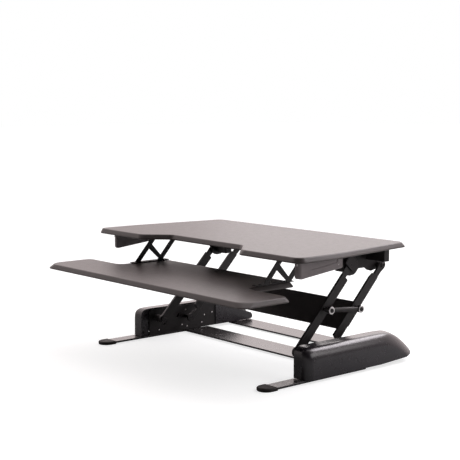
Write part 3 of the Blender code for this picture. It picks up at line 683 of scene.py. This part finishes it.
for tag, side in SIDES:
    rings = []
    for k in range(25):
        x = 0.4040 + 0.0180 * k / 24
        if x < 0.4052:
            share = (0.4052 - x) / 0.0012
            front, rise = 0.0915 + 0.0010 * share**2, 0.0010 * share**2
        elif x < 0.4110:
            front, rise = 0.0915 + 0.0010 * (x - 0.4052) / 0.0058, 0.0
        else:
            share = (x - 0.4110) / 0.0110
            front = 0.0925 + 0.0110 * (1 - math.sqrt(max(0.0, 1 - min(share, 0.999) ** 2)))
            rise = 0.0020 * max(0.0, (x - 0.4195) / 0.0025) ** 2
        rings.append([(x, y, z) for y, z in housing_profile(front, rise)])
    slot_cut = prism_x([(0.1070, 0.3350), (0.1070, 0.2800), (0.2515, 0.2950), (0.2515, 0.3350)], 0.4065, 0.4195)
    line = [(0.1300, 0.3128), (0.2300, 0.3250), (0.2330, 0.3275), (0.2330, 0.3380)]
    width = 0.0014
    groove = prism_x(
        [(y, z - width) for y, z in line[:2]]
        + [(line[2][0] + width, line[2][1] - width), (line[3][0] + width, line[3][1])]
        + [(line[3][0] - width, line[3][1]), (line[2][0] - width, line[2][1] + width * 0.4)]
        + [(y, z + width) for y, z in reversed(line[:2])],
        0.4203,
        0.4300,
    )
    bore = prism_x(circle(LEVER_PIVOT, 0.0028, 24), 0.40, 0.44)
    bm = carve(loft(rings), [("DIFFERENCE", slot_cut), ("DIFFERENCE", groove), ("DIFFERENCE", bore)])
    piece(f"handle_shell_{tag}", bm, "grey_plastic", "platform", side, (f"handle_housing_{tag}",), angle=30)

    heads = bmesh.new()
    pan_screw(heads, (0.4126, 0.0926, 0.3290), (0, -1, 0), 0.0032, 0.0018)
    pan_screw(heads, (0.4130, 0.2540, 0.3240), (0, 1, 0), 0.0032, 0.0018)
    piece(f"handle_screws_{tag}", heads, "zinc_steel", "platform", side)
    piece(
        f"lever_pin_turned_{tag}",
        turned([(0.4043, 0.0021), (0.4046, 0.0025), (0.4208, 0.0025), (0.4213, 0.0023), (0.4217, 0.0017)], LEVER_PIVOT, 32),
        "zinc_steel",
        "platform",
        side,
        (f"lever_pin_{tag}",),
    )

    # ribs along the underside of the lever, where the fingers pull
    ribs = bmesh.new()
    for k in range(9):
        y = 0.1180 + k * 0.0085
        z = 0.2964 + (y - 0.1095) * 0.0981
        prism_x(rounded([(y - 0.0012, z + 0.0006, 0), (y - 0.0008, z - 0.0009, 0.0003), (y + 0.0008, z - 0.0009 + 0.0002, 0.0003), (y + 0.0012, z + 0.0006, 0)], 3), 0.4085, 0.4175, ribs)
    piece(f"lever_ribs_{tag}", ribs, "black_plastic", f"lever_{tag}", side)


# ------------------------------------------------------------------ pins, bolts and springs
for tag, side in SIDES:
    bm = turned(
        [
            (0.2964, 0.0062), (0.2967, 0.0074), (0.2974, 0.0080), (0.2998, 0.0080), (0.3000, 0.0078), (0.3000, 0.0050),
            (0.3486, 0.0050), (0.3486, 0.0080), (0.3514, 0.0080), (0.3519, 0.0077), (0.3522, 0.0070),
        ],
        FRONT_PIVOT,
    )
    piece(f"lower_front_axle_{tag}", bm, "zinc_steel", "base", side, (f"lower_front_pin_{tag}",), look="black_oxide")
    bm = turned(
        [
            (0.3102, 0.0046), (0.3105, 0.0050), (0.3173, 0.0050), (0.3173, 0.0078), (0.3176, 0.0080), (0.3203, 0.0080),
            (0.3206, 0.0078), (0.3206, 0.0050), (0.3486, 0.0050), (0.3486, 0.0080), (0.3514, 0.0080), (0.3522, 0.0070),
        ],
        REAR_PIVOT,
    )
    piece(f"lower_rear_axle_{tag}", bm, "zinc_steel", "base", side, (f"lower_rear_pin_{tag}",), look="black_oxide")
    bm = turned(
        [(0.2900, 0.0064), (0.2903, 0.0074), (0.2909, 0.0080), (0.2935, 0.0080), (0.2935, 0.0050), (0.3080, 0.0050), (0.3083, 0.0046)],
        FRONT_TOP,
    )
    piece(f"upper_front_axle_{tag}", bm, "zinc_steel", "platform", side, (f"upper_front_pin_{tag}",), look="black_oxide")
    bm = turned(
        [
            (0.2900, 0.0064), (0.2903, 0.0074), (0.2909, 0.0080), (0.2935, 0.0080), (0.2935, 0.0050), (0.2983, 0.0050),
            (0.2983, 0.0083), (0.2986, 0.0085), (0.3093, 0.0085), (0.3096, 0.0083), (0.3096, 0.0050), (0.3173, 0.0050),
        ],
        REAR_TOP,
    )
    hex_head(bm, REAR_TOP, 0.3173, 0.3205, 0.0080, 0.0030)
    piece(f"upper_rear_axle_{tag}", bm, "black_oxide", "platform", side, (f"upper_rear_pin_{tag}",))
    bm = turned(
        [
            (0.2910, 0.0038), (0.2913, 0.0045), (0.2935, 0.0045), (0.2935, 0.0025), (0.2984, 0.0025), (0.2984, 0.0045),
            (0.3036, 0.0045), (0.3036, 0.0025), (0.3083, 0.0025), (0.3085, 0.0021),
        ],
        PAWL_PIVOT,
        32,
    )
    piece(f"pawl_rivet_{tag}", bm, "zinc_steel", "platform", side, (f"pawl_pin_{tag}",))

    for end_name, centre, inner, body in (
        ("front", FRONT_MID, 0.3012, "front_arms"),
        ("rear", REAR_MID, 0.3102, "rear_arms"),
    ):
        bm = turned(
            [
                (inner, 0.0046), (inner + 0.0004, 0.0050), (0.3174, 0.0050), (0.3174, 0.0073), (0.3177, 0.0075),
                (0.3268, 0.0075), (0.3271, 0.0073), (0.3271, 0.0050), (0.3388, 0.0050),
            ],
            centre,
        )
        hex_head(bm, centre, 0.3388, 0.3408, 0.0066, 0.0026)
        piece(f"link_bolt_{end_name}_turned_{tag}", bm, "black_oxide", body, side, (f"link_bolt_{end_name}_{tag}",))
        ring = bmesh.new()
        outer_shape = [(0.3374, 0.0104), (0.3377, 0.0107), (0.3384, 0.0107), (0.3387, 0.0103), (0.3387, 0.0053), (0.3374, 0.0053)]
        count = 48
        rows = [
            [
                ring.verts.new((x, centre[0] + r * math.cos(2 * math.pi * i / count), centre[1] + r * math.sin(2 * math.pi * i / count)))
                for i in range(count)
            ]
            for x, r in outer_shape
        ]
        for low, high in zip(rows, rows[1:] + rows[:1]):
            for i in range(count):
                j = (i + 1) % count
                ring.faces.new((low[i], low[j], high[j], high[i]))
        piece(f"link_washer_{end_name}_{tag}", ring, "zinc_steel", body, side)

    # link rod: round bar between two turned eyes
    dy, dz = REAR_MID[0] - FRONT_MID[0], REAR_MID[1] - FRONT_MID[1]
    length = math.hypot(dy, dz)
    d, q = (dy / length, dz / length), (-dz / length, dy / length)
    rings = []
    for s, r in ((0.0066, 0.0047), (0.0110, 0.0047), (0.0150, 0.0056), (0.0190, 0.0058), (length - 0.0190, 0.0058), (length - 0.0150, 0.0056), (length - 0.0110, 0.0047), (length - 0.0066, 0.0047)):
        rings.append(
            [
                (
                    0.3323 + 0.82 * r * math.sin(2 * math.pi * j / 32),
                    FRONT_MID[0] + d[0] * s + q[0] * r * 1.2 * math.cos(2 * math.pi * j / 32),
                    FRONT_MID[1] + d[1] * s + q[1] * r * 1.2 * math.cos(2 * math.pi * j / 32),
                )
                for j in range(32)
            ]
        )
    eyes = []
    for centre in (FRONT_MID, REAR_MID):
        eyes.append(("UNION", turned([(0.3276, 0.0100), (0.3280, 0.0105), (0.3366, 0.0105), (0.3371, 0.0100)], centre, 40)))
    for centre in (FRONT_MID, REAR_MID):
        eyes.append(("DIFFERENCE", turned([(0.32, 0.0053), (0.345, 0.0053)], centre, 40)))
    piece(f"link_rod_turned_{tag}", carve(loft(rings), eyes), "powder_coat", "link_rods", side, (f"link_rod_{tag}",), angle=38)

    # counterbalance spring: fine coil
    turns, wire, mean, start, end = 5.0, 0.0018, 0.0095, 0.3152, 0.3403
    rings = []
    steps = int(turns * 36)
    for k in range(steps + 1):
        a = 2 * math.pi * turns * k / steps
        x = start + (end - start) * k / steps
        c, s_ = math.cos(a), math.sin(a)
        rings.append(
            [
                (
                    x + wire * math.sin(2 * math.pi * j / 10),
                    FRONT_PIVOT[0] + c * (mean + wire * math.cos(2 * math.pi * j / 10)),
                    FRONT_PIVOT[1] + s_ * (mean + wire * math.cos(2 * math.pi * j / 10)),
                )
                for j in range(10)
            ]
        )
    piece(f"lift_spring_coil_{tag}", loft(rings), "zinc_steel", "base", side, (f"lift_spring_{tag}",), angle=60, look="black_oxide")

    # release cable: smooth curve held by clips under the desktop
    route = [
        (0.4030, 0.2470, 0.3320), (0.3940, 0.2500, 0.3335), (0.3800, 0.2600, 0.3345), (0.3600, 0.2800, 0.3350),
        (0.3400, 0.3050, 0.3350), (0.3250, 0.3280, 0.3345), (0.3150, 0.3480, 0.3330), (0.3090, 0.3640, 0.3310),
    ]
    smooth = [Vector(p) for p in through([p for p in route], 5)]
    rings = []
    for k, p in enumerate(smooth):
        ahead = smooth[min(k + 1, len(smooth) - 1)] - smooth[max(k - 1, 0)]
        ahead.normalize()
        up = Vector((0, 0, 1))
        across = ahead.cross(up).normalized()
        lift = across.cross(ahead)
        rings.append([tuple(p + across * (0.0017 * math.cos(2 * math.pi * j / 12)) + lift * (0.0017 * math.sin(2 * math.pi * j / 12))) for j in range(12)])
    piece(f"release_cable_smooth_{tag}", loft(rings), "rubber", "platform", side, (f"release_cable_{tag}",), angle=60)
    clips = bmesh.new()
    for at in ((0.3700, 0.2700), (0.3320, 0.3170)):
        y, z = at[1], DESK_LOW - 0.0004
        shape = rounded([(y - 0.0050, z, 0), (y - 0.0050, z - 0.0010, 0.0003), (y + 0.0050, z - 0.0010, 0.0003), (y + 0.0050, z, 0)], 2)
        prism_x(shape, at[0] - 0.0070, at[0] + 0.0070, clips)
    piece(f"cable_clips_{tag}", clips, "black_plastic", "platform", side, bevel=0.0002)


# ------------------------------------------------------------------ rivets, screws and bumpers
for tag, side in SIDES:
    heads = bmesh.new()
    face = 0.3450
    rivets = [
        (0.213, 0.022), (0.322, 0.075), (0.306, 0.027), (0.327, 0.020), (0.389, 0.023), (0.401, 0.048), (0.434, 0.053), (0.337, 0.041),
    ]
    for y, z in rivets:
        count = 20
        r = 0.0026
        rows = []
        for share, h in ((1.0, -0.2), (1.0, 0.25), (0.88, 0.62), (0.62, 0.90), (0.30, 1.0)):
            rows.append([(face - 0.0013 * h, y + r * share * math.cos(2 * math.pi * i / count), z + r * share * math.sin(2 * math.pi * i / count)) for i in range(count)])
        loft(rows, heads)
    piece(f"plate_rivets_{tag}", heads, "zinc_steel", "base", side)

    heads = bmesh.new()
    pan_screw(heads, (0.3490, 0.156, 0.021), (-1, 0, 0), 0.0034, 0.0018)
    pan_screw(heads, (0.3419, 0.481, 0.019), (-1, 0, 0), 0.0030, 0.0016)
    piece(f"plate_screws_{tag}", heads, "black_oxide", "base", side)

    bumpers = bmesh.new()
    for y, z in ((0.192, 0.0915), (0.315, 0.0915), (0.346, 0.0915), (0.426, 0.0915)):
        count = 20
        rows = []
        for r, h in ((0.0024, -0.0008), (0.0028, 0.0002), (0.0028, 0.0012), (0.0022, 0.0020), (0.0010, 0.0024)):
            rows.append([(0.3462 + 0.55 * r * math.cos(2 * math.pi * i / count), y + r * math.sin(2 * math.pi * i / count), z + h) for i in range(count)])
        loft(rows, bumpers)
    piece(f"plate_bumpers_{tag}", bumpers, "rubber", "base", side)

    heads = bmesh.new()
    for x, y in ((0.2790, 0.082), (0.2790, 0.176)):
        pan_screw(heads, (x, y, TRAY_HIGH + 0.0027), (0, 0, 1), 0.0036, 0.0016)
    for x, y in ((0.2790, 0.116), (0.2790, 0.205), (0.2790, 0.246)):
        pan_screw(heads, (x, y, DESK_LOW - 0.0030), (0, 0, -1), 0.0036, 0.0016)
    for x, y in ((0.2560, 0.386), (0.2560, 0.450), (0.2860, 0.470)):
        pan_screw(heads, (x, y, DESK_LOW - 0.0033), (0, 0, -1), 0.0036, 0.0016)
    pan_screw(heads, (0.3960, 0.130, DESK_LOW), (0, 0, -1), 0.0034, 0.0018)
    pan_screw(heads, (0.4300, 0.130, DESK_LOW), (0, 0, -1), 0.0034, 0.0018)
    piece(f"deck_screws_{tag}", heads, "black_oxide", "platform", side)

    heads = bmesh.new()
    for x, y in ((0.3300, 0.345), (0.3300, 0.392), (0.3380, 0.540), (0.3380, 0.586)):
        pan_screw(heads, (x, y, 0.0078), (0, 0, 1), 0.0040, 0.0018)
    piece(f"crossbar_screws_{tag}", heads, "black_oxide", "base", side)

# ------------------------------------------------------------------ floor, light and camera
floor_mesh = bpy.data.meshes.new("floor")
bm = bmesh.new()
bmesh.ops.create_grid(bm, x_segments=2, y_segments=2, size=30.0)
bm.to_mesh(floor_mesh)
bm.free()
floor = link(bpy.data.objects.new("floor", floor_mesh))
floor.location = (0.0, 0.0, -0.0003)
floor_mat, tree, shader, at = graph("floor_pale")
tree.links.new(
    mix_rgb(tree, noise(tree, at, 3.0, 2.0, 0.5), (0.44, 0.46, 0.46), (0.46, 0.48, 0.48)), shader.inputs["Base Color"]
)
shader.inputs["Roughness"].default_value = 0.9
shader.inputs["Specular IOR Level"].default_value = 0.0
shader.inputs["Emission Color"].default_value = (1.0, 1.0, 1.0, 1.0)
path = tree.nodes.new("ShaderNodeLightPath")
glow = tree.nodes.new("ShaderNodeMath")
glow.operation = "MULTIPLY"
glow.inputs[1].default_value = 0.72
tree.links.new(path.outputs["Is Camera Ray"], glow.inputs[0])
tree.links.new(glow.outputs["Value"], shader.inputs["Emission Strength"])
floor_mesh.materials.append(floor_mat)

world = bpy.data.worlds.new("studio")
bpy.context.scene.world = world
world.use_nodes = True
tree = world.node_tree
tree.nodes.clear()
out = tree.nodes.new("ShaderNodeOutputWorld")
coord = tree.nodes.new("ShaderNodeTexCoord")
split = tree.nodes.new("ShaderNodeVectorMath")
split.operation = "DOT_PRODUCT"
split.inputs[1].default_value = (-0.74, 0.64, 0.20)
tree.links.new(coord.outputs["Generated"], split.inputs[0])
spread = tree.nodes.new("ShaderNodeMapRange")
spread.interpolation_type = "SMOOTHSTEP"
spread.inputs["From Min"].default_value = -0.30
spread.inputs["From Max"].default_value = 0.65
spread.inputs["To Min"].default_value = 0.05
spread.inputs["To Max"].default_value = 1.55
tree.links.new(split.outputs["Value"], spread.inputs["Value"])
lit = tree.nodes.new("ShaderNodeBackground")
lit.inputs["Color"].default_value = (1.0, 0.885, 0.878, 1.0)
tree.links.new(spread.outputs["Result"], lit.inputs["Strength"])
seen = tree.nodes.new("ShaderNodeBackground")
seen.inputs["Color"].default_value = (1.0, 1.0, 1.0, 1.0)
seen.inputs["Strength"].default_value = 1.0
path = tree.nodes.new("ShaderNodeLightPath")
choose = tree.nodes.new("ShaderNodeMixShader")
tree.links.new(path.outputs["Is Camera Ray"], choose.inputs["Fac"])
tree.links.new(lit.outputs["Background"], choose.inputs[1])
tree.links.new(seen.outputs["Background"], choose.inputs[2])
tree.links.new(choose.outputs["Shader"], out.inputs["Surface"])


def area(name, location, target, size, energy, colour=(1.0, 1.0, 1.0)):
    light = bpy.data.lights.new(name, "AREA")
    light.shape = "RECTANGLE"
    light.size, light.size_y = size
    light.energy = energy
    light.color = colour
    obj = link(bpy.data.objects.new(name, light))
    obj.location = location
    obj.rotation_euler = (Vector(target) - Vector(location)).to_track_quat("-Z", "Y").to_euler()
    return obj


area("overhead_soft", (0.2, 0.5, 2.6), (0.0, 0.0, 0.1), (2.4, 2.0), 14.0)
area("back_strip", (-1.2, 2.4, 1.5), (0.0, 0.0, 0.2), (2.6, 1.2), 12.0)
area("shroud_strip", (0.80, 1.75, 1.65), (0.40, 0.45, 0.08), (1.5, 0.6), 26.0, (1.0, 0.95, 1.0))
area("right_soft", (2.5, 1.5, 1.1), (0.4, 0.3, 0.10), (1.4, 0.9), 12.0, (1.0, 0.97, 0.98))

camera = bpy.data.cameras.new("camera")
camera.lens = 84.80
camera.sensor_width = 36.0
view = link(bpy.data.objects.new("camera", camera))
view.location = (2.4089, -2.0927, 0.7422)
view.rotation_euler = (math.pi / 2 - 0.1149, 0.0, 0.8612)
bpy.context.scene.camera = view
bpy.context.scene.view_settings.view_transform = "Standard"

bpy.context.view_layer.update()
